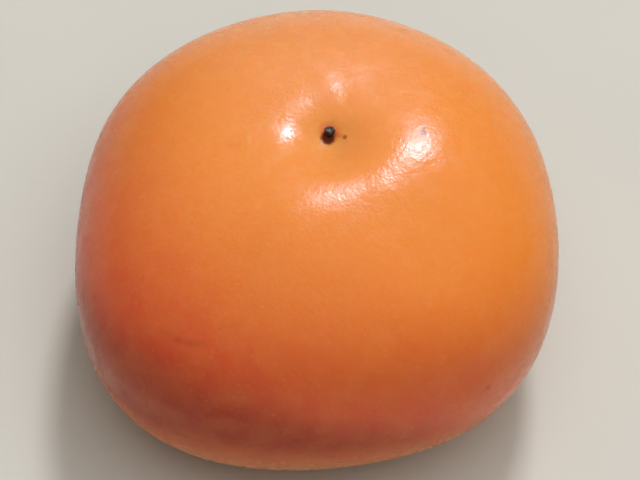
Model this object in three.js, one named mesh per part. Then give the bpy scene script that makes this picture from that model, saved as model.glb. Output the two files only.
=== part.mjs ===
// A persimmon of the flat, squarish kind, standing on its stem end with the crown up.
// Millimetres, +Z up. The origin is on the surface it stands on, under the middle of the fruit.
//
// fruit      flesh and skin, grown as one: a four-cornered superellipsoid with a dimple in the crown
//            and a hollow at the stem end, standing on the four shoulders round that hollow
// calyx      four sepals joined round the stalk, in the hollow and in the valleys between the shoulders
// stem_stub  the woody stalk, cut short inside the calyx
// style_tip  the dried remnant of the flower's style, at the bottom of the dimple

import * as THREE from "three";

const { abs, cos, exp, hypot, max, min, PI, sin } = Math;
const radians = THREE.MathUtils.degToRad;

// ---------------------------------------------------------------- driving dimensions

const GIRTH_RADIUS = 41; // mean radius at the widest level
const CROWN = { height: 28.4, fullness: 2.21 }; // above the widest level, with its superellipse exponent
const STEM_END = { height: 27.6, fullness: 2.55 }; // below it
const CORNER_AZIMUTH = radians(47.5); // the first of the four rounded corners
const SIDE_AZIMUTH = CORNER_AZIMUTH + PI / 4; // the first of the four flatter sides

// Waves that take the plan away from a circle: how many go round, their share of the radius, and where
// one peaks.
const PLAN_WAVES = [
  { count: 2, share: 0.013, peak: radians(96) },
  { count: 3, share: 0.0195, peak: radians(-19) },
  { count: 4, share: 0.0214, peak: CORNER_AZIMUTH },
  { count: 5, share: 0.0035, peak: radians(16.5) },
  { count: 6, share: 0.004, peak: radians(29) },
];
const CROWN_SHIFT = { x: 2.4, y: 1.9 }; // how far the crown grew to one side
const WAIST_TILT = { x: 0.037, y: -0.029 }; // slope of the widest level

const DIMPLE = { depth: 3.1, radius: 8 };
const PIT = { depth: 0.7, radius: 1.9 }; // the small pit that holds the style
const CROWN_FURROWS = { depth: 0.45, radius: 11, sharpness: 2 }; // one from the dimple down each side
const CARPEL_RIDGES = { count: 8, height: 0.1, radius: 11, peak: radians(-2) };

const HOLLOW = { depth: 9, radius: 12 };
const SHOULDERS = { ringRadius: 18, valleyDepth: 3.2, sharpness: 2.6 };
const STANDING_PRESS = 0.3; // how deep the highest of the four shoulders is pressed flat

const SEPALS = { reach: 27, notch: 9, taper: 1.4 };
const SEPAL_BLADE = { thickness: 0.9, edge: 0.65, clearance: 0.3, tipCurl: 0.8 };
const SEPAL_WAVES = { perSepal: 3, height: 0.2 };
const CALYX_DISC = { flatRadius: 3.4, blendRadius: 5.6, thickness: 2 };
const CALYX_CUSHION = { height: 0.7, radius: 6.4, width: 1.7 }; // the raised ring round the stalk

const STALK = { rootRadius: 2.9, radius: 2.1, cutRadius: 2.3, bevel: 0.25, aboveFloor: 0.8, joint: 0.05 };
const STYLE = { footRadius: 0.75, radius: 0.85, height: 1.1, clearance: 0.12 };
const STYLE_CRATER = { radius: 0.4, depth: 0.3 };

// How finely each body is faceted: round its axis, and along its outline.
const FRUIT_FACETS = { round: 72, along: 44 };
const CALYX_FACETS = { round: 80, disc: 2, along: 14 };
const STALK_FACETS = 20;
const STYLE_FACETS = 14;

// ---------------------------------------------------------------- the fruit's surface as a formula

const bell = (distance, radius) => exp(-((distance / radius) ** 2));

// Zero on the axis, 1 on the circle of that radius, and fading beyond it.
const ring = (distance, radius) => (distance / radius) ** 2 * exp(1 - (distance / radius) ** 2);

// 1 at four azimuths a quarter turn apart, falling off sharply between them.
const fourRays = (azimuth, first, sharpness) => exp(sharpness * (cos(4 * (azimuth - first)) - 1));

function girthAt(azimuth) {
  const waves = PLAN_WAVES.map(({ count, share, peak }) => share * cos(count * (azimuth - peak)));
  return GIRTH_RADIUS * (1 + waves.reduce((sum, wave) => sum + wave, 0));
}

function crownRelief(distance, azimuth) {
  const dimple = DIMPLE.depth * bell(distance, DIMPLE.radius) + PIT.depth * bell(distance, PIT.radius);
  const furrow = CROWN_FURROWS.depth * fourRays(azimuth, SIDE_AZIMUTH, CROWN_FURROWS.sharpness)
    * ring(distance, CROWN_FURROWS.radius);
  const ridge = CARPEL_RIDGES.height * cos(CARPEL_RIDGES.count * (azimuth - CARPEL_RIDGES.peak))
    * ring(distance, CARPEL_RIDGES.radius);
  return ridge - dimple - furrow;
}

function stemEndRelief(distance, azimuth) {
  const hollow = HOLLOW.depth * bell(distance, HOLLOW.radius);
  const betweenShoulders = 1 - fourRays(azimuth, CORNER_AZIMUTH, SHOULDERS.sharpness);
  return hollow + SHOULDERS.valleyDepth * betweenShoulders * ring(distance, SHOULDERS.ringRadius);
}

// Adds to a plain superellipsoid's point what makes it this fruit: its lean, its dimple and its hollow.
function fruitPoint(distance, azimuth, height) {
  const rise = height / hypot(distance, height);
  const shift = height > 0 ? rise ** 2 : 0;
  const x = distance * cos(azimuth) + CROWN_SHIFT.x * shift;
  const y = distance * sin(azimuth) + CROWN_SHIFT.y * shift;
  const tilt = (WAIST_TILT.x * x + WAIST_TILT.y * y) * (1 - rise ** 2);
  const relief = height > 0 ? crownRelief(distance, azimuth) : stemEndRelief(distance, azimuth);
  return new THREE.Vector3(x, y, height + tilt + relief);
}

// The surface in the direction that climbs by `climb` radians above the widest level.
function surfaceAtClimb(climb, azimuth) {
  const end = climb > 0 ? CROWN : STEM_END;
  const along = (max(cos(climb), 0) / girthAt(azimuth)) ** end.fullness;
  const up = (abs(sin(climb)) / end.height) ** end.fullness;
  const reach = (along + up) ** (-1 / end.fullness);
  return fruitPoint(reach * max(cos(climb), 0), azimuth, reach * sin(climb));
}

// The underside at a distance from the axis.
function undersideAt(distance, azimuth) {
  const share = min(distance / girthAt(azimuth), 1) ** STEM_END.fullness;
  return fruitPoint(distance, azimuth, -STEM_END.height * (1 - share) ** (1 / STEM_END.fullness)).z;
}

// The level of the table: every shoulder reaches it, and is pressed flat by the fruit's weight.
function standingLevel() {
  const STEPS = 40;
  const shoulderBottoms = [0, 1, 2, 3].map((quarter) => {
    const azimuth = CORNER_AZIMUTH + (quarter * PI) / 2;
    const across = Array.from({ length: STEPS + 1 }, (_, i) => SHOULDERS.ringRadius * (0.6 + (0.8 * i) / STEPS));
    return min(...across.map((distance) => undersideAt(distance, azimuth)));
  });
  return max(...shoulderBottoms) + STANDING_PRESS;
}

const TABLE_LEVEL = standingLevel();
const DIMPLE_BOTTOM = surfaceAtClimb(PI / 2, 0);
const HOLLOW_TOP = undersideAt(0, 0);

// ---------------------------------------------------------------- helpers for turned bodies

// A lathe whose axis is upright. Its profile runs from the axis at the bottom to the axis at the top.
function turned(profile, facets) {
  return new THREE.LatheGeometry(profile, facets).rotateX(PI / 2);
}

// Moves every corner of a geometry to where `place` says, given its distance, azimuth and height.
function reshape(geometry, place) {
  const corners = geometry.getAttribute("position");
  const corner = new THREE.Vector3();
  for (let i = 0; i < corners.count; i++) {
    corner.fromBufferAttribute(corners, i);
    const moved = place(hypot(corner.x, corner.y), Math.atan2(corner.y, corner.x), corner.z);
    corners.setXYZ(i, moved.x, moved.y, moved.z);
  }
  geometry.computeVertexNormals();
  return geometry;
}

// ---------------------------------------------------------------- the four bodies

// Rows of corners crowd towards both ends, where the dimple and the hollow need them.
function fruitGeometry() {
  const CROWDING = 0.14;
  const halfCircle = Array.from({ length: FRUIT_FACETS.along + 1 }, (_, i) => {
    const share = (2 * i) / FRUIT_FACETS.along - 1;
    const climb = (PI / 2) * (share + CROWDING * sin(PI * share));
    const onAxis = i === 0 || i === FRUIT_FACETS.along;
    return new THREE.Vector2(onAxis ? 0 : cos(climb), sin(climb));
  });
  return reshape(turned(halfCircle, FRUIT_FACETS.round), (distance, azimuth, height) => {
    const point = surfaceAtClimb(Math.atan2(height, distance), azimuth);
    point.z = max(point.z, TABLE_LEVEL);
    return point;
  });
}

// How far the calyx reaches: four broad sepals, each along a valley, with a notch at each shoulder.
function calyxReach(azimuth) {
  const lobe = abs(cos(2 * (azimuth - SIDE_AZIMUTH))) ** SEPALS.taper;
  return SEPALS.notch + (SEPALS.reach - SEPALS.notch) * lobe;
}

// The face of the calyx that lies against the fruit. It leaves the fruit towards the sepals' tips.
function calyxInnerFace(distance, azimuth) {
  const outward = distance / SEPALS.reach;
  const curl = SEPAL_BLADE.tipCurl * outward ** 4;
  const wave = SEPAL_WAVES.height * (1 + sin(4 * SEPAL_WAVES.perSepal * azimuth)) * outward ** 3;
  return undersideAt(distance, azimuth) - SEPAL_BLADE.clearance - curl - wave;
}

const DISC_LEVEL = HOLLOW_TOP - SEPAL_BLADE.clearance - CALYX_DISC.thickness;

// The face turned to the table: flat where the stalk grows out, with a cushion round it.
function calyxOuterFace(distance, azimuth) {
  const thinning = (distance / calyxReach(azimuth)) ** 3;
  const thickness = SEPAL_BLADE.thickness + (SEPAL_BLADE.edge - SEPAL_BLADE.thickness) * thinning;
  const cushion = CALYX_CUSHION.height * bell(distance - CALYX_CUSHION.radius, CALYX_CUSHION.width);
  const sepal = calyxInnerFace(distance, azimuth) - thickness - cushion;
  const onSepal = THREE.MathUtils.smoothstep(distance, CALYX_DISC.flatRadius, CALYX_DISC.blendRadius);
  return DISC_LEVEL + (sepal - DISC_LEVEL) * onSepal;
}

// A flat round blank, one unit thick, whose rings are spread out to the sepals' outline.
// The rings within the disc stay circles, so that the stalk's seat is truly flat.
function calyxGeometry() {
  const HALF = 0.5;
  const { round, disc, along } = CALYX_FACETS;
  const rings = Array.from({ length: along + 1 }, (_, i) => i);
  const blank = [
    ...rings.map((ringIndex) => new THREE.Vector2(ringIndex, -HALF)),
    ...rings.reverse().map((ringIndex) => new THREE.Vector2(ringIndex, HALF)),
  ];
  return reshape(turned(blank, round), (ringIndex, azimuth, height) => {
    const onDisc = min(ringIndex / disc, 1);
    const onSepal = max(ringIndex - disc, 0) / (along - disc);
    const { flatRadius } = CALYX_DISC;
    const distance = flatRadius * onDisc + (calyxReach(azimuth) - flatRadius) * onSepal;
    const level = height > 0 ? calyxInnerFace(distance, azimuth) : calyxOuterFace(distance, azimuth);
    return new THREE.Vector3(distance * cos(azimuth), distance * sin(azimuth), level);
  });
}

// The stalk hangs from the calyx's disc, waisted below its root and cut just clear of the table.
function stemStubGeometry() {
  const root = DISC_LEVEL - STALK.joint;
  const cut = TABLE_LEVEL + STALK.aboveFloor;
  const length = root - cut;
  const outline = new THREE.SplineCurve([
    new THREE.Vector2(STALK.cutRadius, cut + STALK.bevel),
    new THREE.Vector2(STALK.radius, cut + length * 0.45),
    new THREE.Vector2(STALK.radius * 1.08, cut + length * 0.75),
    new THREE.Vector2(STALK.rootRadius, root),
  ]);
  const profile = [
    new THREE.Vector2(0, cut),
    new THREE.Vector2(STALK.cutRadius - STALK.bevel, cut),
    ...outline.getPoints(7),
    new THREE.Vector2(0, root),
  ];
  return turned(profile, STALK_FACETS);
}

// A dried stub with a sunken end, standing in the pit.
function styleTipGeometry() {
  const foot = DIMPLE_BOTTOM.z + STYLE.clearance;
  const top = foot + STYLE.height;
  const profile = [
    new THREE.Vector2(0, foot),
    new THREE.Vector2(STYLE.footRadius * 0.7, foot + 0.05),
    new THREE.Vector2(STYLE.footRadius, foot + STYLE.height * 0.25),
    new THREE.Vector2(STYLE.radius, foot + STYLE.height * 0.7),
    new THREE.Vector2(STYLE.radius * 0.85, top),
    new THREE.Vector2(STYLE_CRATER.radius, top),
    new THREE.Vector2(0, top - STYLE_CRATER.depth),
  ];
  return turned(profile, STYLE_FACETS).translate(DIMPLE_BOTTOM.x, DIMPLE_BOTTOM.y, 0);
}

// ---------------------------------------------------------------- the part

const skin = new THREE.MeshStandardMaterial({ color: 0xe87a2c, roughness: 0.32, metalness: 0 });
const sepal = new THREE.MeshStandardMaterial({ color: 0x6b6a3a, roughness: 0.7, metalness: 0 });
const wood = new THREE.MeshStandardMaterial({ color: 0x6e5238, roughness: 0.85, metalness: 0 });
const driedStyle = new THREE.MeshStandardMaterial({ color: 0x1d1512, roughness: 0.6, metalness: 0 });

const persimmon = new THREE.Group();

function addBody(name, geometry, material) {
  const mesh = new THREE.Mesh(geometry, material);
  mesh.name = name;
  persimmon.add(mesh);
}

const fruit = fruitGeometry();
addBody("fruit", fruit, skin);
addBody("calyx", calyxGeometry(), sepal);
addBody("stem_stub", stemStubGeometry(), wood);
addBody("style_tip", styleTipGeometry(), driedStyle);

// The bodies are made round the fruit's own axis, with the widest level at zero.
fruit.computeBoundingBox();
const middle = fruit.boundingBox.getCenter(new THREE.Vector3());
persimmon.position.set(-middle.x, -middle.y, -TABLE_LEVEL);

export default persimmon;
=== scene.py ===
"""A whole persimmon standing crown up on a pale table.

The fruit, its four-sepalled calyx, the cut stalk and the dried style tip are each made by an operator
of their own. The fruit and the calyx follow one formula for the fruit's surface. Lengths are in metres.
"""

import math
from typing import NamedTuple

import bmesh
import bpy
import numpy as np
from bpy.props import FloatProperty, FloatVectorProperty, PointerProperty
from mathutils import Euler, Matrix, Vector, noise


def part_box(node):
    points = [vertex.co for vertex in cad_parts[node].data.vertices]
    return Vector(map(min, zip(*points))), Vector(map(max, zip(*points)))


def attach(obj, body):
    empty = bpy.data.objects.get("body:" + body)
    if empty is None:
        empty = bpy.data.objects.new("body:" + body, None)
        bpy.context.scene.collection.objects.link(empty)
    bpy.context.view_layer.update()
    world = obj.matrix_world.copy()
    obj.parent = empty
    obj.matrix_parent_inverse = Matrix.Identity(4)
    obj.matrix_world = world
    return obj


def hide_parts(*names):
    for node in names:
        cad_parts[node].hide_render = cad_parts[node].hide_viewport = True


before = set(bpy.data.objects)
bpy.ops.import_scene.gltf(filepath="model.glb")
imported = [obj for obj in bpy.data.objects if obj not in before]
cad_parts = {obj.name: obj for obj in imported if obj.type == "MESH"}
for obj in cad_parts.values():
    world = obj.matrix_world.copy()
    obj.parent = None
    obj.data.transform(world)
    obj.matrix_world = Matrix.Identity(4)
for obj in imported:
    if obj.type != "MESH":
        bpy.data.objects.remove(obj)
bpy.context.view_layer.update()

bl_info = {
    "name": "Persimmon",
    "version": (1, 0, 0),
    "blender": (4, 5, 0),
    "location": "3D View > Sidebar > Persimmon",
    "description": "Makes a persimmon with its calyx, stalk and style tip",
    "category": "Add Mesh",
}

MM = 0.001
FRAME_WIDTH, FRAME_HEIGHT = 640, 480
NEARLY_ZERO = 1e-9
SEED_STEPS = (7.3, -3.1, 5.7)

# Waves that take the plan away from a circle: how many go round, their share of the radius, and where
# one peaks.
CORNER_AZIMUTH = math.radians(47.5)
SIDE_AZIMUTH = CORNER_AZIMUTH + math.pi / 4
PLAN_WAVES = (
    (2, 0.013, math.radians(96)),
    (3, 0.0195, math.radians(-19)),
    (4, 0.0214, CORNER_AZIMUTH),
    (5, 0.0035, math.radians(16.5)),
    (6, 0.004, math.radians(29)),
)


# ------------------------------------------------------------------ settings


def length(name, description, millimetres):
    return FloatProperty(
        name=name, description=description, default=millimetres * MM, unit="LENGTH", precision=5
    )


def power(name, description, watts):
    return FloatProperty(name=name, description=description, default=watts, unit="POWER")


def fullness(name, description, exponent):
    return FloatProperty(name=name, description=description, default=exponent)


def angle(name, description, degrees):
    return FloatProperty(name=name, description=description, default=math.radians(degrees), subtype="ANGLE")


def colour(name, description, red, green, blue):
    return FloatVectorProperty(
        name=name,
        description=description,
        default=(red, green, blue),
        size=3,
        min=0,
        max=1,
        subtype="COLOR",
    )


class FruitSettings(bpy.types.PropertyGroup):
    girth_radius: length("Girth radius", "Mean radius at the widest level", 41)
    crown_height: length("Crown height", "Height of the crown above the widest level", 28.4)
    crown_fullness: fullness("Crown fullness", "Superellipse exponent above the widest level", 2.21)
    stem_end_height: length("Stem end height", "Depth of the shoulders below the widest level", 27.6)
    stem_end_fullness: fullness("Stem end fullness", "Superellipse exponent below the widest level", 2.55)
    dimple_depth: length("Dimple depth", "Depth of the dimple in the crown", 2.85)
    dimple_radius: length("Dimple radius", "Radius of the dimple in the crown", 5.3)
    hollow_depth: length("Hollow depth", "Depth of the hollow at the stem end", 9)
    hollow_radius: length("Hollow radius", "Radius of the hollow at the stem end", 12)
    valley_depth: length("Valley depth", "Depth of the valleys between the four shoulders", 3.2)
    swell: length("Swell", "Height of the faint swellings of the skin", 0.09)


class SkinSettings(bpy.types.PropertyGroup):
    ripe: colour("Ripe orange", "Skin in the middle of the fruit", 0.86, 0.268, 0.036)
    golden: colour("Golden", "Paler skin round the crown", 0.88, 0.322, 0.084)
    deep: colour("Deep orange", "Redder skin low on the sides", 0.75, 0.107, 0.046)
    # Dark red tone of the painted shade low on one side.
    ruddy: colour("Ruddy", "Darkest skin, low on one side", 0.44, 0.048, 0.012)
    # Paler skin near the stem end, partly painted reflection of the table.
    shaded: colour("Shaded skin", "Duller, paler skin near the stem end", 0.72, 0.24, 0.05)
    bloom: colour("Bloom", "Pale waxy bloom behind the crown", 0.88, 0.37, 0.17)
    # Pale wax with painted sheen of the light from behind the fruit.
    freckle: colour("Freckle", "Fine pale freckles", 0.95, 0.5, 0.16)
    green: colour("Unripe tinge", "Tinge at the bottom of the dimple", 0.62, 0.36, 0.05)
    stain: colour("Stain", "Dried sap beside the style tip", 0.11, 0.013, 0.01)
    scar: colour("Scar", "Small scars in the skin", 0.3, 0.05, 0.02)
    scuff: colour("Scuff", "Small pale scuffs in the skin", 0.95, 0.55, 0.25)


class CalyxSettings(bpy.types.PropertyGroup):
    reach: length("Reach", "From the axis to a sepal's tip", 27)
    notch: length("Notch", "From the axis to the notch between two sepals", 9)
    thickness: length("Thickness", "Thickness of a sepal near the disc", 0.9)
    edge: length("Edge thickness", "Thickness of a sepal at its edge", 0.65)
    rib: length("Rib height", "Height of the midrib on the outer face", 0.28)
    leaf: colour("Leaf", "Sepals", 0.13, 0.135, 0.035)
    blotch: colour("Blotch", "Drier blotches on the sepals", 0.2, 0.175, 0.06)
    dry: colour("Dry edge", "Dried edges of the sepals", 0.19, 0.1, 0.04)
    vein: colour("Vein", "Veins of the sepals", 0.3, 0.26, 0.13)


class StalkSettings(bpy.types.PropertyGroup):
    cut_edge_radius: length("Cut edge radius", "Radius at the rim of the cut", 2.05)
    cut_radius: length("Cut radius", "Radius just above the cut", 2.3)
    radius: length("Radius", "Radius at the waist", 2.1)
    flare_radius: length("Flare radius", "Radius where it begins to widen", 2.27)
    root_radius: length("Root radius", "Radius where it leaves the calyx", 2.9)
    bark: colour("Bark", "Outside of the stalk", 0.12, 0.075, 0.035)
    pale_bark: colour("Pale bark", "Fibres in the bark", 0.2, 0.135, 0.07)
    pith: colour("Pith", "Wood at the cut end", 0.36, 0.25, 0.13)
    dark_pith: colour("Dark pith", "Fibres in the cut end", 0.24, 0.16, 0.08)


class StyleSettings(bpy.types.PropertyGroup):
    radius: length("Radius", "Radius of the dried style", 0.85)
    height: length("Height", "Height of the dried style", 0.95)
    black: colour("Black", "Dried tissue", 0.012, 0.008, 0.006)
    brown: colour("Brown", "Patches of the dried tissue", 0.05, 0.028, 0.018)
    core: colour("Core", "Paler tissue in its sunken end", 0.16, 0.15, 0.09)


class StageSettings(bpy.types.PropertyGroup):
    elevation: angle("Elevation", "How far the camera looks down", 54.5)
    roll: angle("Roll", "Roll of the camera", 0.6)
    distance: length("Distance", "From the camera to the middle of the fruit", 380)
    lens: FloatProperty(name="Lens", description="Focal length", default=129.3, unit="CAMERA")
    table: colour("Table", "Table top", 0.63, 0.63, 0.595)
    sparkle_power: power("Sparkle power", "Power of the lamp that gives the highlights", 18.5)
    window_power: power("Window power", "Power of the soft light from behind", 10.5)
    ceiling_power: power("Ceiling power", "Power of the broad lamp above", 13.4)
    fill_power: power("Fill power", "Power of the dim lamp in front", 1.1)
    sky: FloatProperty(name="Sky", description="Strength of the light from all round", default=0.16)


# ------------------------------------------------------------------ the fruit's surface as a formula


def bell(distance, radius):
    return np.exp(-((distance / radius) ** 2))


def ring(distance, radius):
    """Zero on the axis, 1 on the circle of that radius, and fading beyond it."""
    return (distance / radius) ** 2 * np.exp(1 - (distance / radius) ** 2)


def four_rays(azimuth, first, sharpness):
    """1 at four azimuths a quarter turn apart, falling off between them."""
    return np.exp(sharpness * (np.cos(4 * (azimuth - first)) - 1))


def smooth_step(value, low, high):
    share = np.clip((value - low) / (high - low), 0, 1)
    return share * share * (3 - 2 * share)


def azimuths(count):
    """Evenly spaced azimuths, as one row."""
    return np.linspace(0, 2 * math.pi, count, endpoint=False)[None, :]


def points_round_axis(distance, azimuth, height):
    """Rows of points, each given by its distance from the axis, azimuth and height."""
    east, north = distance * np.cos(azimuth), distance * np.sin(azimuth)
    return np.stack([east, north, height + 0 * east], -1)


class FruitForm:
    """The fruit's surface round its own axis, with the widest level at zero."""

    PIT_DEPTH, PIT_RADIUS = 0.4 * MM, 1.9 * MM
    BASIN_DEPTH, BASIN_RADIUS = 0.8 * MM, 12 * MM
    SHOULDER_RADIUS, SHOULDER_SHARPNESS = 18 * MM, 2.6
    SHOULDER_SEARCH, SEARCH_STEPS = (0.6, 1.4), 41
    STANDING_PRESS = 0.3 * MM
    CROWN_SHIFT = (2.4 * MM, 1.9 * MM)
    WAIST_TILT = (0.037, -0.029)
    DIMPLE_AT = (0.3 * MM, -2.1 * MM)
    FURROW_START, FURROW_SLANT = 3.5 * MM, -0.12
    FURROW_DEPTH, FURROW_WIDTH = 0.11 * MM, 1.8 * MM
    FURROW_RISES, FURROW_FADES = (2 * MM, 5 * MM), (11 * MM, 17 * MM)

    # Each swelling or hollow of the crown: how far east and north of the axis, its height and its radius.
    SWELLINGS = {
        "front swelling": (-5 * MM, -17.5 * MM, 0.75 * MM, 8 * MM),
        "right swelling": (20.5 * MM, -0.5 * MM, 0.8 * MM, 11 * MM),
        "corner hollow": (19 * MM, -18.5 * MM, -1.2 * MM, 9.5 * MM),
        "back hollow": (7 * MM, 9 * MM, -0.6 * MM, 7.5 * MM),
        "left hollow": (-10.2 * MM, 0, -1.05 * MM, 11 * MM),
        "west dip": (-4.7 * MM, -1.3 * MM, -0.18 * MM, 8 * MM),
        "north dip": (-5 * MM, 10.9 * MM, -0.17 * MM, 4.5 * MM),
        "rim dent": (-1.8 * MM, 5.7 * MM, -0.17 * MM, 2.6 * MM),
        "right rise": (16 * MM, -3 * MM, 0.07 * MM, 5.7 * MM),
        "front rise": (9.8 * MM, -12.2 * MM, 0.12 * MM, 2.7 * MM),
    }

    ROW_CROWDING = 0.14
    MEASURING_ROWS, MEASURING_AROUND = 121, 360

    def __init__(self, settings):
        self.s = settings
        self.table_level = self.standing_level()
        self.dimple_bottom = self.at_climb(np.array(math.pi / 2), np.array(0.0))
        self.hollow_top = float(self.underside(np.array(NEARLY_ZERO), np.array(0.0)))
        self.home = self.frame_offset()

    def girth(self, azimuth):
        waves = sum(share * np.cos(count * (azimuth - peak)) for count, share, peak in PLAN_WAVES)
        return self.s.girth_radius * (1 + waves)

    def crown_relief(self, distance, azimuth):
        """The basin with the style in it, and the swellings and hollows of the carpels round it."""
        east, north = distance * np.cos(azimuth), distance * np.sin(azimuth)
        aside = np.hypot(east - self.DIMPLE_AT[0], north - self.DIMPLE_AT[1])
        relief = -self.s.dimple_depth * bell(aside, self.s.dimple_radius)
        relief -= self.BASIN_DEPTH * bell(distance, self.BASIN_RADIUS)
        relief -= self.PIT_DEPTH * bell(distance, self.PIT_RADIUS)
        beside = east - self.FURROW_START - self.FURROW_SLANT * north
        reach = smooth_step(north, *self.FURROW_RISES) * (1 - smooth_step(north, *self.FURROW_FADES))
        relief -= self.FURROW_DEPTH * bell(beside, self.FURROW_WIDTH) * reach
        for place_east, place_north, height, radius in self.SWELLINGS.values():
            away = np.hypot(east - place_east, north - place_north)
            relief = relief + height * bell(away, radius)
        return relief

    def stem_end_relief(self, distance, azimuth):
        """The hollow that the calyx lies in, and the valleys between the four shoulders."""
        hollow = self.s.hollow_depth * bell(distance, self.s.hollow_radius)
        between = 1 - four_rays(azimuth, CORNER_AZIMUTH, self.SHOULDER_SHARPNESS)
        return hollow + self.s.valley_depth * between * ring(distance, self.SHOULDER_RADIUS)

    def point(self, distance, azimuth, height):
        """Adds to a plain superellipsoid's point what makes it this fruit."""
        rise = height / np.hypot(distance, height)
        shift = np.where(height > 0, rise**2, 0)
        x = distance * np.cos(azimuth) + self.CROWN_SHIFT[0] * shift
        y = distance * np.sin(azimuth) + self.CROWN_SHIFT[1] * shift
        tilt = (self.WAIST_TILT[0] * x + self.WAIST_TILT[1] * y) * (1 - rise**2)
        crown, stem_end = self.crown_relief(distance, azimuth), self.stem_end_relief(distance, azimuth)
        return np.stack([x, y, height + tilt + np.where(height > 0, crown, stem_end)], -1)

    def at_climb(self, climb, azimuth):
        """The surface in the direction that climbs by `climb` above the widest level."""
        top = climb > 0
        height = np.where(top, self.s.crown_height, self.s.stem_end_height)
        exponent = np.where(top, self.s.crown_fullness, self.s.stem_end_fullness)
        level = np.maximum(np.cos(climb), 0)
        along = (level / self.girth(azimuth)) ** exponent
        up = (np.abs(np.sin(climb)) / height) ** exponent
        reach = (along + up) ** (-1 / exponent)
        return self.point(reach * level, azimuth, reach * np.sin(climb))

    def underside(self, distance, azimuth):
        """How high the skin lies below the widest level, at a distance from the axis."""
        exponent = self.s.stem_end_fullness
        share = np.minimum(distance / self.girth(azimuth), 1) ** exponent
        depth = self.s.stem_end_height * (1 - share) ** (1 / exponent)
        return self.point(distance, azimuth, -depth)[..., 2]

    def standing_level(self):
        """Every shoulder reaches the table, and is pressed flat by the fruit's weight."""
        distance = self.SHOULDER_RADIUS * np.linspace(*self.SHOULDER_SEARCH, self.SEARCH_STEPS)
        corners = [CORNER_AZIMUTH + quarter * math.pi / 2 for quarter in range(4)]
        bottoms = [self.underside(distance, np.full_like(distance, corner)).min() for corner in corners]
        return max(bottoms) + self.STANDING_PRESS

    def rows(self, count, around):
        """Points in rows from the stem end to the crown. They crowd towards both ends."""
        share = np.linspace(-1, 1, count)[:, None]
        climb = math.pi / 2 * (share + self.ROW_CROWDING * np.sin(math.pi * share))
        azimuth = azimuths(around)
        return self.at_climb(climb + 0 * azimuth, azimuth + 0 * climb)

    def frame_offset(self):
        """What moves the form to where the CAD fruit stands."""
        points = self.rows(self.MEASURING_ROWS, self.MEASURING_AROUND).reshape(-1, 3)
        middle = (points.min(0) + points.max(0)) / 2
        low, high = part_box("fruit")
        stand_x, stand_y = (low.x + high.x) / 2, (low.y + high.y) / 2
        return np.array([stand_x - middle[0], stand_y - middle[1], -self.table_level])

    def skin_at(self, climb, azimuth):
        """A place on the skin, from its climb above the widest level and its azimuth, both in degrees."""
        place = self.at_climb(np.radians(np.array(float(climb))), np.radians(np.array(float(azimuth))))
        return Vector(place + self.home)


# ------------------------------------------------------------------ meshes


def closed_mesh(name, rows):
    """A closed body from rows of points, the first and last of which are single points on the axis."""
    count, around = rows.shape[0] - 2, rows.shape[1]
    inner = rows[1:-1].reshape(-1, 3)
    vertices = np.vstack([rows[0, :1], inner, rows[-1, :1]])
    start = 1 + around * np.arange(count)[:, None]
    here = np.arange(around)[None, :]
    ahead = (here + 1) % around
    corners = [start[:-1] + here, start[:-1] + ahead, start[1:] + ahead, start[1:] + here]
    faces = np.stack(corners, -1).reshape(-1, 4)
    last = len(vertices) - 1
    first_fan = [(0, 1 + (i + 1) % around, 1 + i) for i in range(around)]
    end = 1 + around * (count - 1)
    last_fan = [(last, end + i, end + (i + 1) % around) for i in range(around)]
    mesh = bpy.data.meshes.new(name)
    mesh.from_pydata(vertices.tolist(), [], faces.tolist() + first_fan + last_fan)
    body = bmesh.new()
    body.from_mesh(mesh)
    bmesh.ops.recalc_face_normals(body, faces=body.faces)
    body.to_mesh(mesh)
    body.free()
    mesh.shade_smooth()
    mesh.update()
    return mesh


def mark_points(mesh, name, rows):
    """Stores a number for each point, given in the same rows as the mesh's points."""
    values = np.concatenate([rows[0, :1], rows[1:-1].ravel(), rows[-1, :1]])
    mark = mesh.attributes.new(name, "FLOAT", "POINT")
    mark.data.foreach_set("value", values.astype(np.float32))


def add_object(name, content):
    made = bpy.data.objects.new(name, content)
    bpy.context.scene.collection.objects.link(made)
    return made


def add_piece(mesh, material, node):
    """Puts a piece of the fruit in the scene, in the place of its CAD node."""
    piece = add_object(mesh.name, mesh)
    mesh.materials.append(material)
    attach(piece, "root")
    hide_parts(node)


def swelling(points, size, seed):
    """Smooth noise between -1 and 1 for each point."""
    flat = points.reshape(-1, 3)
    shift = Vector([seed * step for step in SEED_STEPS])
    values = [noise.noise(Vector(point) / size + shift) for point in flat]
    return np.array(values).reshape(points.shape[:-1])


# ------------------------------------------------------------------ node helpers


def add_node(tree, kind, inputs=None, **settings):
    """Adds a node. Each of its inputs is given a value, or a socket to link from."""
    made = tree.nodes.new(kind)
    for key, value in settings.items():
        setattr(made, key, value)
    for key, value in (inputs or {}).items():
        if isinstance(value, bpy.types.NodeSocket):
            tree.links.new(value, made.inputs[key])
        else:
            made.inputs[key].default_value = value
    return made


def math_node(tree, operation, first, second, clamp=False):
    made = add_node(tree, "ShaderNodeMath", {0: first, 1: second}, operation=operation, use_clamp=clamp)
    return made.outputs[0]


def vector_node(tree, operation, first, second):
    return add_node(tree, "ShaderNodeVectorMath", {0: first, 1: second}, operation=operation).outputs


def height_of(tree, place):
    return add_node(tree, "ShaderNodeSeparateXYZ", {0: place}).outputs["Z"]


def mix_colours(tree, factor, first, second):
    made = add_node(tree, "ShaderNodeMix", {0: factor}, data_type="RGBA")
    for index, value in ((6, first), (7, second)):
        if isinstance(value, bpy.types.NodeSocket):
            tree.links.new(value, made.inputs[index])
        else:
            made.inputs[index].default_value = (*value, 1)
    return made.outputs[2]


def lay_over(tree, base, tone, mask, strength):
    """Lays a colour over another where the mask is."""
    return mix_colours(tree, math_node(tree, "MULTIPLY", mask, strength), base, tone)


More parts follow.
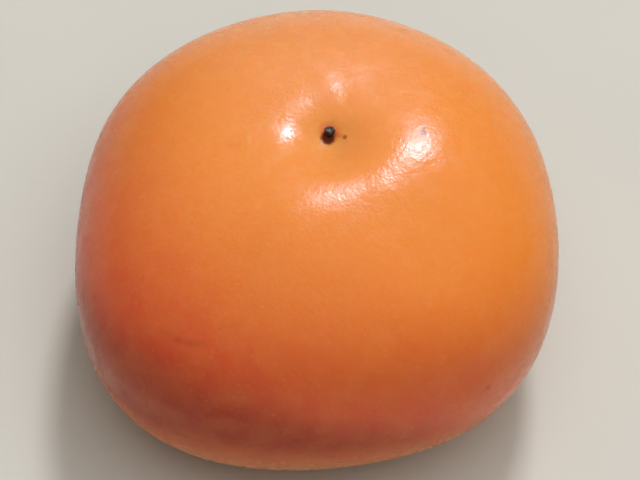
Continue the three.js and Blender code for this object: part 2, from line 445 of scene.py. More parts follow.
def map_range(tree, value, low, high, to_low=0.0, to_high=1.0):
    inputs = {0: value, 1: low, 2: high, 3: to_low, 4: to_high}
    return add_node(tree, "ShaderNodeMapRange", inputs, interpolation_type="SMOOTHSTEP").outputs[0]


def noise_value(tree, vector, size, detail=2.0):
    """Noise whose blotches are about `size` metres across."""
    inputs = {"Vector": vector, "Scale": 1 / size, "Detail": detail}
    return add_node(tree, "ShaderNodeTexNoise", inputs).outputs["Fac"]


def mask_group(name, inputs):
    """A shader node group that puts out one mask. Each input is (name, socket type, default)."""
    group = bpy.data.node_groups.new(name, "ShaderNodeTree")
    for title, kind, default in (("Vector", "Vector", None), *inputs):
        socket = group.interface.new_socket(title, in_out="INPUT", socket_type="NodeSocket" + kind)
        if default is not None:
            socket.default_value = default
    group.interface.new_socket("Mask", in_out="OUTPUT", socket_type="NodeSocketFloat")
    given = group.nodes.new("NodeGroupInput").outputs
    out = group.nodes.new("NodeGroupOutput").inputs["Mask"]
    return group, given, out


def built_once(build):
    """Lets a group's builder run once, and hands out what it made from then on."""

    def find_or_build():
        name = build.__name__
        if name not in bpy.data.node_groups:
            build(name)
        return bpy.data.node_groups[name]

    return find_or_build


@built_once
def soft_patches(name):
    """Soft uneven patches."""
    inputs = (("Size", "Float", 10 * MM), ("Low", "Float", 0.35), ("High", "Float", 0.65))
    group, given, out = mask_group(name, inputs)
    scale = math_node(group, "DIVIDE", 1.0, given["Size"])
    inputs = {"Vector": given["Vector"], "Scale": scale, "Detail": 3}
    patches = add_node(group, "ShaderNodeTexNoise", inputs)
    mask = map_range(group, patches.outputs["Fac"], given["Low"], given["High"])
    group.links.new(mask, out)


@built_once
def scattered_flecks(name):
    """Small scattered flecks, each somewhere in its own cell."""
    inputs = (("Spacing", "Float", 2 * MM), ("Size", "Float", 0.1), ("Softness", "Float", 0.1))
    group, given, out = mask_group(name, inputs)
    scale = math_node(group, "DIVIDE", 1.0, given["Spacing"])
    cells = add_node(group, "ShaderNodeTexVoronoi", {"Vector": given["Vector"], "Scale": scale})
    outer = math_node(group, "ADD", given["Size"], given["Softness"])
    mask = map_range(group, cells.outputs["Distance"], given["Size"], outer, 1.0, 0.0)
    group.links.new(mask, out)


@built_once
def ragged_spot(name):
    """One round spot with a ragged edge."""
    inputs = (
        ("Centre", "Vector", None),
        ("Radius", "Float", 1 * MM),
        ("Softness", "Float", 0.5 * MM),
        ("Raggedness", "Float", 0.0),
    )
    group, given, out = mask_group(name, inputs)
    distance = vector_node(group, "DISTANCE", given["Vector"], given["Centre"])["Value"]
    bumps_per_radius = 1.4
    scale = math_node(group, "DIVIDE", bumps_per_radius, given["Radius"])
    edge = add_node(group, "ShaderNodeTexNoise", {"Vector": given["Vector"], "Scale": scale, "Detail": 2.0})
    push = math_node(group, "SUBTRACT", edge.outputs["Fac"], 0.5)
    push = math_node(group, "MULTIPLY", push, given["Raggedness"])
    ragged = math_node(group, "ADD", distance, push)
    outer = math_node(group, "ADD", given["Radius"], given["Softness"])
    mask = map_range(group, ragged, given["Radius"], outer, 1.0, 0.0)
    group.links.new(mask, out)


@built_once
def fine_scratch(name):
    """A thin straight line on the skin between two places."""
    inputs = (("Start", "Vector", None), ("End", "Vector", None), ("Width", "Float", 0.5 * MM))
    group, given, out = mask_group(name, inputs)
    away = vector_node(group, "SUBTRACT", given["Vector"], given["Start"])[0]
    along = vector_node(group, "SUBTRACT", given["End"], given["Start"])[0]
    reached = vector_node(group, "DOT_PRODUCT", away, along)["Value"]
    whole = vector_node(group, "DOT_PRODUCT", along, along)["Value"]
    share = math_node(group, "DIVIDE", reached, whole, clamp=True)
    nearest = add_node(group, "ShaderNodeVectorMath", {0: along, "Scale": share}, operation="SCALE")
    distance = vector_node(group, "DISTANCE", away, nearest.outputs[0])["Value"]
    mask = map_range(group, distance, 0.0, given["Width"], 1.0, 0.0)
    group.links.new(mask, out)


def mask_of(tree, find_group, place, **inputs):
    """Uses a mask group, whose inputs are named in small letters here."""
    made = add_node(tree, "ShaderNodeGroup", node_tree=find_group())
    for key, value in {"vector": place, **inputs}.items():
        socket = made.inputs[key.capitalize()]
        if isinstance(value, bpy.types.NodeSocket):
            tree.links.new(value, socket)
        else:
            socket.default_value = value
    return made.outputs["Mask"]


def new_material(name):
    material = bpy.data.materials.new(name)
    material.use_nodes = True
    tree = material.node_tree
    tree.nodes.clear()
    shader = tree.nodes.new("ShaderNodeBsdfPrincipled")
    output = tree.nodes.new("ShaderNodeOutputMaterial")
    tree.links.new(shader.outputs[0], output.inputs["Surface"])
    place = tree.nodes.new("ShaderNodeTexCoord").outputs["Object"]
    return material, tree, shader, place


def set_roughness(tree, shader, value, smooth, rough, low=0, high=1):
    """Smooth where the value is low, and rough where it is high."""
    tree.links.new(map_range(tree, value, low, high, smooth, rough), shader.inputs["Roughness"])


def set_bump(tree, shader, height, depth):
    bump = add_node(tree, "ShaderNodeBump", {"Height": height, "Distance": depth})
    tree.links.new(bump.outputs["Normal"], shader.inputs["Normal"])


# ------------------------------------------------------------------ materials


class Mark(NamedTuple):
    """A small round mark. Its place is given by climb and azimuth in degrees."""

    climb: float
    azimuth: float
    radius: float
    softness: float
    strength: float
    tone: str


class Scratch(NamedTuple):
    """A fine line between two places, each given by climb and azimuth in degrees."""

    start: tuple
    end: tuple
    width: float
    strength: float
    tone: str


class WaxySkin:
    """The skin's material. Heights are counted from the table."""

    # The skin is riper the further it lies along one direction. Painted shade in a dark red tone darkens it
    # on the side away from another.
    RIPE_SIDE, RIPE_FROM, RIPE_FULL = (0.35, 0.4, 0.85), 6 * MM, 48 * MM
    PALE_SIDE, PALE_FROM = (0.3, 0.5, 0.8), 10 * MM
    BLUSH_BOTTOM, BLUSH_TOP = 15 * MM, 25 * MM
    # Near the stem end the skin turns duller and paler, partly as painted reflection of the table.
    SHADE_BOTTOM, SHADE_TOP, SHADE_STRENGTH = 11 * MM, 26 * MM, 0.95
    WANDER_SIZE, RIPE_WANDER, EDGE_WANDER = 22 * MM, 12 * MM, 6 * MM

    GLOW = {"radius": 1 * MM, "softness": 44 * MM, "raggedness": 6 * MM}
    # Pale wax behind the crown, with painted sheen of the light from behind.
    BLOOM = {"radius": 6 * MM, "softness": 26 * MM, "raggedness": 6 * MM}
    BLOOM_AT, BLOOM_STRENGTH = (45, 90), 0.55
    TINGE = {"radius": 0.8 * MM, "softness": 6 * MM, "raggedness": 2 * MM}
    TINGE_STRENGTH = 0.2

    BLOTCHES = {"size": 4.5 * MM, "low": 0.3, "high": 0.7}
    FRECKLES = {"spacing": 1.3 * MM, "size": 0.08, "softness": 0.18}
    DARK_FLECKS = {"spacing": 4.6 * MM, "size": 0.03, "softness": 0.05}
    BLOTCH_STRENGTH, FRECKLE_STRENGTH, DARK_FLECK_STRENGTH = 0.16, 0.14, 0.35

    # The painted shade and the sap stain beside the style, a nick, two pits close together, and a speck low
    # down.
    # A mark's raggedness is a share of its radius.
    MARK_RAGGEDNESS = 0.8
    MARKS = (
        # Painted shade behind the style, in the deep orange.
        Mark(88.6, 90, 0.9 * MM, 1.4 * MM, 0.5, "deep"),
        Mark(89.3, 215, 0.8 * MM, 0.8 * MM, 0.9, "stain"),
        Mark(85, -12, 0.22 * MM, 0.3 * MM, 0.75, "scar"),
        Mark(60.4, -3.6, 0.4 * MM, 0.3 * MM, 0.9, "scar"),
        Mark(60.2, 0.2, 0.15 * MM, 0.3 * MM, 0.6, "scar"),
        Mark(3.7, 310.8, 0.3 * MM, 0.4 * MM, 0.5, "scar"),
    )
    # A bent one in three pieces and a short one beside it, two higher up, and one that ends at the nick.
    SCRATCHES = (
        Scratch((22.2, 231.5), (22.2, 235.8), 0.9 * MM, 0.13, "scar"),
        Scratch((22.2, 235.8), (22.6, 239), 0.9 * MM, 0.16, "scar"),
        Scratch((22.6, 239), (23.8, 242.5), 1 * MM, 0.15, "scar"),
        Scratch((28.2, 245), (29.3, 247.9), 0.8 * MM, 0.08, "scar"),
        Scratch((60.2, 189), (62.2, 190.4), 1 * MM, 0.22, "deep"),
        Scratch((66, 184.5), (65.8, 191.5), 0.4 * MM, 0.35, "scuff"),
        Scratch((87.9, 16.8), (85, -12), 0.6 * MM, 0.25, "scar"),
    )

    WAX = {"size": 3 * MM, "low": 0.3, "high": 0.75}
    SHINY, DULL = 0.22, 0.32
    SPECULAR_LEVEL = 0.22
    FLESH_WEIGHT, FLESH_RADIUS, FLESH_SCALE = 0.5, (1.0, 0.32, 0.1), 5 * MM
    COARSE_GRAIN, FINE_GRAIN, FINE_SHARE = 1.3 * MM, 0.5 * MM, 0.6
    GRAIN_FADES, GRAIN_FULL, GRAIN_LEAST = 30 * MM, 44 * MM, 0.12
    GRAIN_DEPTH = 0.048 * MM

    def __init__(self, form, colours):
        self.form, self.colours = form, colours
        self.material, self.tree, self.shader, self.place = new_material("waxy_skin")
        wander = noise_value(self.tree, self.place, self.WANDER_SIZE)
        self.wander = math_node(self.tree, "SUBTRACT", wander, 0.5)
        self.stray = math_node(self.tree, "MULTIPLY", self.wander, self.EDGE_WANDER)
        self.height = math_node(self.tree, "ADD", height_of(self.tree, self.place), self.stray)
        self.crown = form.dimple_bottom + form.home

    def build(self):
        base = self.sides()
        base = self.round_the_crown(base)
        base = self.flecks(base)
        base = self.marks(base)
        self.tree.links.new(base, self.shader.inputs["Base Color"])
        self.gloss_and_grain()
        return self.material

    def spot(self, centre, **inputs):
        return mask_of(self.tree, ragged_spot, self.place, centre=centre, **inputs)

    def sides(self):
        """Ripe above, deep orange lower down, painted dark red shade on one side, and duller, paler skin
        near the stem end with painted reflection of the table.
        """
        tree, colours = self.tree, self.colours
        lean = vector_node(tree, "DOT_PRODUCT", self.place, self.RIPE_SIDE)["Value"]
        lean = math_node(tree, "ADD", lean, math_node(tree, "MULTIPLY", self.wander, self.RIPE_WANDER))
        ripeness = map_range(tree, lean, self.RIPE_FROM, self.RIPE_FULL)
        base = mix_colours(tree, ripeness, colours.deep, colours.ripe)
        # Painted shade in the dark red tone: where the skin lies little along one direction, above a
        # height.
        band = vector_node(tree, "DOT_PRODUCT", self.place, self.PALE_SIDE)["Value"]
        band = math_node(tree, "ADD", band, self.stray)
        painted_shade = map_range(tree, band, 0.0, self.PALE_FROM, 1.0, 0.0)
        above = map_range(tree, self.height, self.BLUSH_BOTTOM, self.BLUSH_TOP)
        base = lay_over(tree, base, colours.ruddy, painted_shade, above)
        # Paler near the stem end: partly the skin's own colour, partly painted reflection of the table.
        shade = map_range(tree, self.height, self.SHADE_BOTTOM, self.SHADE_TOP, self.SHADE_STRENGTH, 0.0)
        return mix_colours(tree, shade, base, colours.shaded)

    def round_the_crown(self, base):
        """Golden skin round the crown, and pale wax behind it with painted sheen of the light from behind.
        """
        tree, colours = self.tree, self.colours
        base = mix_colours(tree, self.spot(self.crown, **self.GLOW), base, colours.golden)
        # Painted sheen of the light from behind, on pale wax behind the crown.
        bloom = self.spot(self.form.skin_at(*self.BLOOM_AT), **self.BLOOM)
        return lay_over(tree, base, colours.bloom, bloom, self.BLOOM_STRENGTH)

    def flecks(self, base):
        """Fine mottling, and paler and darker flecks."""
        tree, colours = self.tree, self.colours
        blotches = mask_of(tree, soft_patches, self.place, **self.BLOTCHES)
        base = lay_over(tree, base, colours.golden, blotches, self.BLOTCH_STRENGTH)
        freckles = mask_of(tree, scattered_flecks, self.place, **self.FRECKLES)
        base = lay_over(tree, base, colours.freckle, freckles, self.FRECKLE_STRENGTH)
        dark = mask_of(tree, scattered_flecks, self.place, **self.DARK_FLECKS)
        return lay_over(tree, base, colours.deep, dark, self.DARK_FLECK_STRENGTH)

    def marks(self, base):
        """The tinge in the dimple, the painted shade and the sap stain beside the style, and the small
        scars and scratches.
        """
        tree, colours = self.tree, self.colours
        base = lay_over(tree, base, colours.green, self.spot(self.crown, **self.TINGE), self.TINGE_STRENGTH)
        for mark in self.MARKS:
            spot = self.spot(
                self.form.skin_at(mark.climb, mark.azimuth),
                radius=mark.radius,
                softness=mark.softness,
                raggedness=self.MARK_RAGGEDNESS * mark.radius,
            )
            base = lay_over(tree, base, getattr(colours, mark.tone), spot, mark.strength)
        for scratch in self.SCRATCHES:
            start, end = self.form.skin_at(*scratch.start), self.form.skin_at(*scratch.end)
            line = mask_of(tree, fine_scratch, self.place, start=start, end=end, width=scratch.width)
            base = lay_over(tree, base, getattr(colours, scratch.tone), line, scratch.strength)
        return base

    def gloss_and_grain(self):
        """Patchy wax over flesh that lets light through, with a fine grain that fades down the sides."""
        tree, shader = self.tree, self.shader
        wax = mask_of(tree, soft_patches, self.place, **self.WAX)
        set_roughness(tree, shader, wax, self.SHINY, self.DULL)
        shader.inputs["Specular IOR Level"].default_value = self.SPECULAR_LEVEL
        shader.inputs["Subsurface Weight"].default_value = self.FLESH_WEIGHT
        shader.inputs["Subsurface Radius"].default_value = self.FLESH_RADIUS
        shader.inputs["Subsurface Scale"].default_value = self.FLESH_SCALE
        coarse = noise_value(tree, self.place, self.COARSE_GRAIN)
        fine = math_node(tree, "MULTIPLY", noise_value(tree, self.place, self.FINE_GRAIN), self.FINE_SHARE)
        fade = map_range(tree, self.height, self.GRAIN_FADES, self.GRAIN_FULL, self.GRAIN_LEAST, 1.0)
        grain = math_node(tree, "MULTIPLY", math_node(tree, "ADD", coarse, fine), fade)
        set_bump(tree, shader, grain, self.GRAIN_DEPTH)


def sepal_material(colours):
    """Dry leaf, blotched, with paler veins and a dead margin."""
    material, tree, shader, place = new_material("dried_sepals")
    dying_from, dead_from = 0.95, 1.2
    margin = add_node(tree, "ShaderNodeAttribute", attribute_name="margin").outputs["Fac"]
    vein = add_node(tree, "ShaderNodeAttribute", attribute_name="vein").outputs["Fac"]
    blotch = mask_of(tree, soft_patches, place, size=4 * MM, low=0.35, high=0.7)
    base = mix_colours(tree, blotch, colours.leaf, colours.blotch)
    uneven = math_node(tree, "MULTIPLY", noise_value(tree, place, size=3 * MM), 0.3)
    dead = map_range(tree, math_node(tree, "ADD", margin, uneven), dying_from, dead_from)
    base = mix_colours(tree, dead, base, colours.dry)
    base = lay_over(tree, base, colours.vein, vein, strength=0.5)
    tree.links.new(base, shader.inputs["Base Color"])
    set_roughness(tree, shader, blotch, smooth=0.55, rough=0.75)
    set_bump(tree, shader, noise_value(tree, place, size=0.7 * MM, detail=3), depth=0.12 * MM)
    return material


def stalk_material(colours):
    """Fibrous bark, with paler wood where the stalk was cut."""
    material, tree, shader, place = new_material("cut_stalk")
    drawn_out = (1, 1, 0.2)
    wood_ends, bark_starts = 0.95 * MM, 1.15 * MM
    stretched = vector_node(tree, "MULTIPLY", place, drawn_out)[0]
    grain = noise_value(tree, stretched, size=0.5 * MM, detail=3)
    fibres = map_range(tree, grain, low=0.3, high=0.7)
    bark = mix_colours(tree, fibres, colours.bark, colours.pale_bark)
    rays = map_range(tree, grain, low=0.35, high=0.65)
    pith = mix_colours(tree, rays, colours.pith, colours.dark_pith)
    cut = map_range(tree, height_of(tree, place), wood_ends, bark_starts, 1.0, 0.0)
    tree.links.new(mix_colours(tree, cut, bark, pith), shader.inputs["Base Color"])
    set_roughness(tree, shader, grain, smooth=0.75, rough=0.9, low=0.3, high=0.7)
    set_bump(tree, shader, grain, depth=0.2 * MM)
    return material


def style_material(sunken_end, colours):
    """Black dried tissue, a little paler in the sunken end."""
    material, tree, shader, place = new_material("dried_style")
    blotch = mask_of(tree, soft_patches, place, size=0.5 * MM, low=0.4, high=0.7)
    base = mix_colours(tree, blotch, colours.black, colours.brown)
    sizes = {"radius": 0.2 * MM, "softness": 0.3 * MM, "raggedness": 0.3 * MM}
    core = mask_of(tree, ragged_spot, place, centre=sunken_end, **sizes)
    base = lay_over(tree, base, colours.core, core, strength=0.8)
    tree.links.new(base, shader.inputs["Base Color"])
    set_roughness(tree, shader, blotch, smooth=0.4, rough=0.6)
    set_bump(tree, shader, noise_value(tree, place, size=0.3 * MM, detail=3), depth=0.1 * MM)
    return material


def table_material(colours):
    """Matt and plain, and very faintly uneven."""
    material, tree, shader, place = new_material("pale_table")
    darkest_share = 0.97
    blotch = mask_of(tree, soft_patches, place, size=50 * MM, low=0.2, high=0.8)
    darker = tuple(darkest_share * channel for channel in colours.table)
    tree.links.new(mix_colours(tree, blotch, colours.table, darker), shader.inputs["Base Color"])
    shader.inputs["Roughness"].default_value = 0.85
    shader.inputs["Specular IOR Level"].default_value = 0.25
    return material


# ------------------------------------------------------------------ operators


class PERSIMMON_OT_fruit(bpy.types.Operator):
    """Makes the fruit's flesh and skin"""

    bl_idname = "persimmon.fruit"
    bl_label = "Fruit"

    ROWS, AROUND = 201, 384
    BROAD_SWELLS, NARROW_SWELLS, NARROW_SHARE = 16 * MM, 6 * MM, 0.35

    def execute(self, context):
        scene = context.scene
        form = FruitForm(scene.persimmon_fruit)
        points = form.rows(self.ROWS, self.AROUND)
        outward = points / np.linalg.norm(points, axis=-1, keepdims=True)
        swell = swelling(points, self.BROAD_SWELLS, 1)
        swell = swell + self.NARROW_SHARE * swelling(points, self.NARROW_SWELLS, 2)
        points = points + outward * (scene.persimmon_fruit.swell * swell)[..., None]
        points[0], points[-1] = points[0].mean(0), points[-1].mean(0)
        points[..., 2] = np.maximum(points[..., 2], form.table_level)
        mesh = closed_mesh("persimmon_fruit", points + form.home)
        skin = WaxySkin(form, scene.persimmon_skin)
        add_piece(mesh, skin.build(), "fruit")
        return {"FINISHED"}


class PERSIMMON_OT_calyx(bpy.types.Operator):
    """Makes the four joined sepals under the fruit"""

    bl_idname = "persimmon.calyx"
    bl_label = "Calyx"

    ROWS, AROUND = 49, 288
    TAPER = 1.4
    FRAY, FRAY_COUNT, FRAY_BUNCHES = 0.012, 23, 7
    FINE_FRAY, FINE_FRAY_COUNT = 0.008, 51
    CLEARANCE, TIP_CURL = 0.3 * MM, 0.8 * MM
    WAVES, WAVE_HEIGHT = 12, 0.2 * MM
    FLAT_RADIUS, BLEND_RADIUS, DISC_THICKNESS = 3.4 * MM, 5.6 * MM, 2 * MM
    CUSHION_HEIGHT, CUSHION_RADIUS, CUSHION_WIDTH = 0.7 * MM, 6.4 * MM, 1.7 * MM
    EDGE_ROUNDING, ROUNDING_STARTS = 0.3, 0.97
    # The side veins' start and bend are counted in millimetres.
    VEINS_RISE = (5 * MM, 9 * MM)
    MIDRIB_WIDTH = 0.32 * MM
    SIDE_VEIN_WIDTH, SIDE_VEIN_STRENGTH = 0.7 * MIDRIB_WIDTH, 0.6
    SIDE_VEINS_START, SIDE_VEIN_SPREADS, SIDE_VEIN_BEND = 6, (0.18, 0.42, 0.7), 0.86
    INNER_VEIN_SHARE = 0.4

    def reach(self, settings, azimuth):
        """How far the outline lies from the axis, frayed a little."""
        lobe = np.abs(np.cos(2 * (azimuth - SIDE_AZIMUTH))) ** self.TAPER
        fray = self.FRAY * np.sin(self.FRAY_COUNT * azimuth + 1) * np.sin(self.FRAY_BUNCHES * azimuth)
        frayed = 1 + fray + self.FINE_FRAY * np.sin(self.FINE_FRAY_COUNT * azimuth)
        return (settings.notch + (settings.reach - settings.notch) * lobe) * frayed

    def inner_face(self, form, settings, distance, azimuth):
        """Follows the skin, and curls and waves away from it towards the tips."""
        outward = distance / settings.reach
        curl = self.TIP_CURL * outward**4
        wave = self.WAVE_HEIGHT * (1 + np.sin(self.WAVES * azimuth)) * outward**3
        return form.underside(distance, azimuth) - self.CLEARANCE - curl - wave

    def veins(self, distance, azimuth):
        """1 on the midrib of each sepal, and less on its side veins."""
        turn = (azimuth - SIDE_AZIMUTH + math.pi / 4) % (math.pi / 2) - math.pi / 4
        aside, along = distance * np.sin(turn), distance * np.cos(turn)
        lines = bell(aside, self.MIDRIB_WIDTH)
        beyond = np.maximum(along / MM - self.SIDE_VEINS_START, 0)
        for spread in self.SIDE_VEIN_SPREADS:
            bend = spread * beyond**self.SIDE_VEIN_BEND * MM
            for side in (-1, 1):
                line = self.SIDE_VEIN_STRENGTH * bell(aside - side * bend, self.SIDE_VEIN_WIDTH)
                lines = np.maximum(lines, line)
        return lines * smooth_step(distance, *self.VEINS_RISE)

    def execute(self, context):
        scene = context.scene
        settings = scene.persimmon_calyx
        form = FruitForm(scene.persimmon_fruit)
        share = np.linspace(0, 1, self.ROWS)[:, None]
        distance = share * self.reach(settings, azimuths(self.AROUND)) + NEARLY_ZERO
        azimuth = azimuths(self.AROUND) + 0 * distance
        inner = self.inner_face(form, settings, distance, azimuth)
        vein = self.veins(distance, azimuth)
        disc = form.hollow_top - self.CLEARANCE - self.DISC_THICKNESS
        thickness = settings.thickness + (settings.edge - settings.thickness) * share**3
        cushion = self.CUSHION_HEIGHT * bell(distance - self.CUSHION_RADIUS, self.CUSHION_WIDTH)
        outer = inner - thickness - cushion - settings.rib * vein * (1 - share**4)
        outer = disc + (outer - disc) * smooth_step(distance, self.FLAT_RADIUS, self.BLEND_RADIUS)
        rounding = self.EDGE_ROUNDING * thickness * smooth_step(share, self.ROUNDING_STARTS, 1.0)
        under = points_round_axis(distance, azimuth, outer + rounding)
        over = points_round_axis(distance, azimuth, inner - rounding)[::-1]
        mesh = closed_mesh("persimmon_calyx", np.vstack([under, over]) + form.home)
        edge = np.broadcast_to(share**1.5, distance.shape)
        mark_points(mesh, "margin", np.vstack([edge, edge[::-1]]))
        mark_points(mesh, "vein", np.vstack([vein, self.INNER_VEIN_SHARE * vein[::-1]]))
        add_piece(mesh, sepal_material(settings), "calyx")
        return {"FINISHED"}


class PERSIMMON_OT_stalk(bpy.types.Operator):
    """Makes the cut stalk in the middle of the calyx"""

    bl_idname = "persimmon.stalk"
    bl_label = "Stalk"

    AROUND = 96
    # Shares of the way up from the cut: of the rows of points, and of the places where a radius is set.
    LEVELS = (0, 0.02, 0.05, 0.1, 0.2, 0.32, 0.45, 0.6, 0.75, 0.88, 0.96, 1)
    RADIUS_LEVELS = (0, 0.1, 0.45, 0.75, 1)
    # Shares of the way out from the axis to the rim of the cut, which is lowest between them.
    CUT_ROWS = (0, 0.12, 0.3, 0.5, 0.7, 0.88)
    SUNK_DEPTH, SUNK_AT, SUNK_WIDTH = 0.12 * MM, 0.3, 0.5
    RIDGE, RIDGE_COUNT, RIDGE_START = 0.035, 9, 0.7
    FINE_RIDGE, FINE_RIDGE_COUNT = 0.02, 23

    def execute(self, context):
        scene = context.scene
        settings = scene.persimmon_stalk
        form = FruitForm(scene.persimmon_fruit)
        low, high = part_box("stem_stub")
        levels = np.array(self.LEVELS)[:, None]
        at_levels = (
            settings.cut_edge_radius,
            settings.cut_radius,
            settings.radius,
            settings.flare_radius,
            settings.root_radius,
        )
        radii = np.interp(levels, self.RADIUS_LEVELS, at_levels)
        azimuth = azimuths(self.AROUND)
        ridges = 1 + self.RIDGE * np.sin(self.RIDGE_COUNT * azimuth + self.RIDGE_START)
        ridges = ridges + self.FINE_RIDGE * np.sin(self.FINE_RIDGE_COUNT * azimuth)
        side = points_round_axis(radii * ridges, azimuth, low.z + (high.z - low.z) * levels)
        share = np.array(self.CUT_ROWS)[:, None]
        sunk = self.SUNK_DEPTH * (1 - ((share - self.SUNK_AT) / self.SUNK_WIDTH) ** 2).clip(0)
        cut = points_round_axis(share * radii[0] * ridges, azimuth, low.z + sunk)
        top = points_round_axis(0 * azimuth, azimuth, high.z)
        rows = np.vstack([cut, side, top])
        rows[..., :2] += form.home[:2]
        mesh = closed_mesh("persimmon_stalk", rows)
        add_piece(mesh, stalk_material(settings), "stem_stub")
        return {"FINISHED"}


class PERSIMMON_OT_style_tip(bpy.types.Operator):
    """Makes the dried style at the bottom of the dimple"""

    bl_idname = "persimmon.style_tip"
    bl_label = "Style tip"

    AROUND = 64
    LEAN = (0, 0.45 * MM, 0)
    # The outline from the axis below to the axis above, in shares of the radius and of the height.
    OUTLINE = (
        (0, -0.6),
        (0.5, -0.6),
        (0.6, 0),
        (0.85, 0.2),
        (1, 0.5),
        (0.98, 0.75),
        (0.86, 0.92),
        (0.7, 1),
        (0.5, 0.94),
        (0.35, 0.8),
        (0.18, 0.72),
        (0, 0.7),
    )
    SUNKEN_LEVEL = 0.72
    LOBE, LOBE_COUNT, LOBE_START = 0.07, 4, 0.6
    RIB, RIB_COUNT, RIB_START = 0.04, 7, 2
    JAG, JAG_COUNT, JAG_START, JAG_LEVELS = 0.05, 5, 1, (0.6, 1)

    def execute(self, context):
        settings = context.scene.persimmon_style
        low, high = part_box("style_tip")
        foot = (low + high) / 2 + Vector(self.LEAN)
        foot.z = low.z
        azimuth = azimuths(self.AROUND)
        outline = np.array(self.OUTLINE, float)
        radii, levels = outline[:, :1] * settings.radius, outline[:, 1:]
        lobes = 1 + self.LOBE * np.cos(self.LOBE_COUNT * azimuth + self.LOBE_START) * levels.clip(0)
        lobes = lobes + self.RIB * np.sin(self.RIB_COUNT * azimuth + self.RIB_START)
        jags = 1 + np.sin(self.JAG_COUNT * azimuth + self.JAG_START)
        jag = 1 - self.JAG * jags * smooth_step(levels, *self.JAG_LEVELS)
        rows = points_round_axis(radii * lobes, azimuth, settings.height * levels * jag) + np.array(foot)
        rows[-1] = rows[-1].mean(0)
        mesh = closed_mesh("persimmon_style_tip", rows)
        sunken_end = foot + Vector((0, 0, self.SUNKEN_LEVEL * settings.height))
        add_piece(mesh, style_material(sunken_end, settings), "style_tip")
        return {"FINISHED"}


class Lamp(NamedTuple):
    """A square lamp facing the fruit. Its azimuth, counted from +X, and its elevation are in degrees."""

    name: str
    azimuth: float
    elevation: float
    distance: float
    size: float
    power: str
    tint: tuple
    gives_highlights: bool


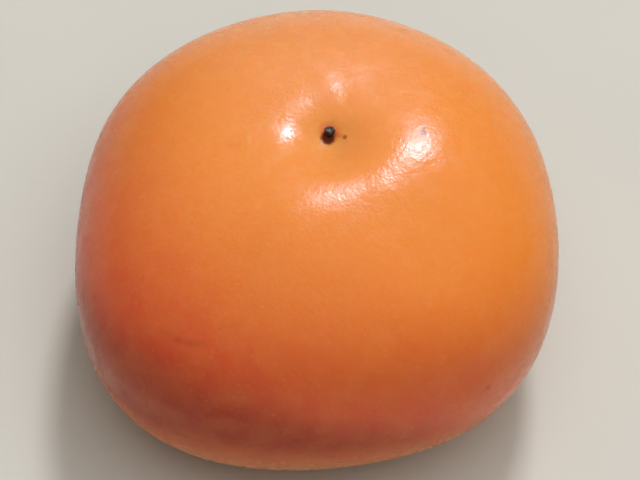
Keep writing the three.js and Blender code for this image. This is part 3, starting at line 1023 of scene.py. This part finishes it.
class PERSIMMON_OT_stage(bpy.types.Operator):
    """Makes the table, the lights and the camera"""

    bl_idname = "persimmon.stage"
    bl_label = "Stage"

    HALF_TABLE = 1.5
    # The first lamp gives the highlights on the crown and nothing else, and the others give no highlights.
    LAMPS = (
        Lamp("sparkle_lamp", 67, 55, 1.2, 0.22, "sparkle_power", (0.92, 0.93, 1.12), True),
        Lamp("window_glow", 72, 61, 1.5, 0.25, "window_power", (1, 0.98, 0.95), False),
        Lamp("ceiling_lamp", -41, 75, 1.5, 1.5, "ceiling_power", (1, 0.97, 0.92), False),
        Lamp("front_fill", -90, 45, 1.5, 0.9, "fill_power", (1, 0.88, 0.72), False),
    )
    LAMPS_AIM_AT = (0, 0, 30 * MM)
    MIDDLE_IN_FRAME = (313.3, 236.4)
    SENSOR_WIDTH, NEAREST_SEEN = 36, 10 * MM
    SKY_TINT = (1, 0.95, 0.86)

    def table(self, settings):
        half = self.HALF_TABLE
        corners = [(-half, -half, 0), (half, -half, 0), (half, half, 0), (-half, half, 0)]
        mesh = bpy.data.meshes.new("table_top")
        mesh.from_pydata(corners, [], [(0, 1, 2, 3)])
        mesh.materials.append(table_material(settings))
        top = add_object("table_top", mesh)

    def light(self, lamp, settings):
        source = bpy.data.lights.new(lamp.name, "AREA")
        source.size = lamp.size
        source.energy = getattr(settings, lamp.power)
        source.color = lamp.tint
        holder = add_object(lamp.name, source)
        holder.visible_diffuse = not lamp.gives_highlights
        holder.visible_glossy = lamp.gives_highlights
        azimuth, elevation = math.radians(lamp.azimuth), math.radians(lamp.elevation)
        across = math.cos(elevation)
        away = Vector((across * math.cos(azimuth), across * math.sin(azimuth), math.sin(elevation)))
        holder.location = away * lamp.distance + Vector(self.LAMPS_AIM_AT)
        holder.rotation_euler = away.to_track_quat("Z", "Y").to_euler()

    def camera(self, form, settings):
        """Looks at the middle of the fruit's widest level, which lies a little off the frame's centre."""
        middle_x, middle_y = self.MIDDLE_IN_FRAME
        lens = bpy.data.cameras.new("camera")
        lens.sensor_width = self.SENSOR_WIDTH
        lens.lens = settings.lens
        lens.shift_x = (FRAME_WIDTH / 2 - middle_x) / FRAME_WIDTH
        lens.shift_y = (middle_y - FRAME_HEIGHT / 2) / FRAME_WIDTH
        lens.clip_start = self.NEAREST_SEEN
        camera = add_object("camera", lens)
        away = Vector((0, -math.cos(settings.elevation), math.sin(settings.elevation)))
        aim = away.to_track_quat("Z", "Y") @ Euler((0, 0, settings.roll)).to_quaternion()
        camera.location = Vector(form.home) + away * settings.distance
        camera.rotation_euler = aim.to_euler()
        bpy.context.scene.camera = camera

    def room(self, scene, settings):
        """Soft light from all round, without highlights of its own."""
        world = bpy.data.worlds.new("soft_room")
        scene.world = world
        world.use_nodes = True
        background = world.node_tree.nodes["Background"].inputs
        background["Color"].default_value = (*self.SKY_TINT, 1)
        background["Strength"].default_value = settings.sky
        world.cycles_visibility.glossy = False

    def execute(self, context):
        scene = context.scene
        settings = scene.persimmon_stage
        self.table(settings)
        for lamp in self.LAMPS:
            self.light(lamp, settings)
        self.camera(FruitForm(scene.persimmon_fruit), settings)
        self.room(scene, settings)
        scene.view_settings.view_transform = "Standard"
        return {"FINISHED"}


class PERSIMMON_PT_panel(bpy.types.Panel):
    """Lists the operators and their settings"""

    bl_idname = "PERSIMMON_PT_panel"
    bl_label = "Persimmon"
    bl_space_type = "VIEW_3D"
    bl_region_type = "UI"
    bl_category = "Persimmon"

    def draw(self, context):
        for operator, groups in STEPS:
            box = self.layout.box()
            box.operator(operator.bl_idname)
            for group in groups:
                settings = getattr(context.scene, group)
                for key in settings.__annotations__:
                    box.prop(settings, key)


STEPS = (
    (PERSIMMON_OT_fruit, ("persimmon_fruit", "persimmon_skin")),
    (PERSIMMON_OT_calyx, ("persimmon_calyx",)),
    (PERSIMMON_OT_stalk, ("persimmon_stalk",)),
    (PERSIMMON_OT_style_tip, ("persimmon_style",)),
    (PERSIMMON_OT_stage, ("persimmon_stage",)),
)
SETTINGS = {
    "persimmon_fruit": FruitSettings,
    "persimmon_skin": SkinSettings,
    "persimmon_calyx": CalyxSettings,
    "persimmon_stalk": StalkSettings,
    "persimmon_style": StyleSettings,
    "persimmon_stage": StageSettings,
}
CLASSES = (*SETTINGS.values(), *(operator for operator, _ in STEPS), PERSIMMON_PT_panel)


def register():
    for cls in CLASSES:
        bpy.utils.register_class(cls)
    for name, group in SETTINGS.items():
        setattr(bpy.types.Scene, name, PointerProperty(type=group))


def unregister():
    for name in SETTINGS:
        delattr(bpy.types.Scene, name)
    for cls in reversed(CLASSES):
        bpy.utils.unregister_class(cls)


def main():
    register()
    bpy.ops.persimmon.fruit()
    bpy.ops.persimmon.calyx()
    bpy.ops.persimmon.stalk()
    bpy.ops.persimmon.style_tip()
    bpy.ops.persimmon.stage()
    bpy.context.view_layer.update()


if __name__ == "__main__":
    main()
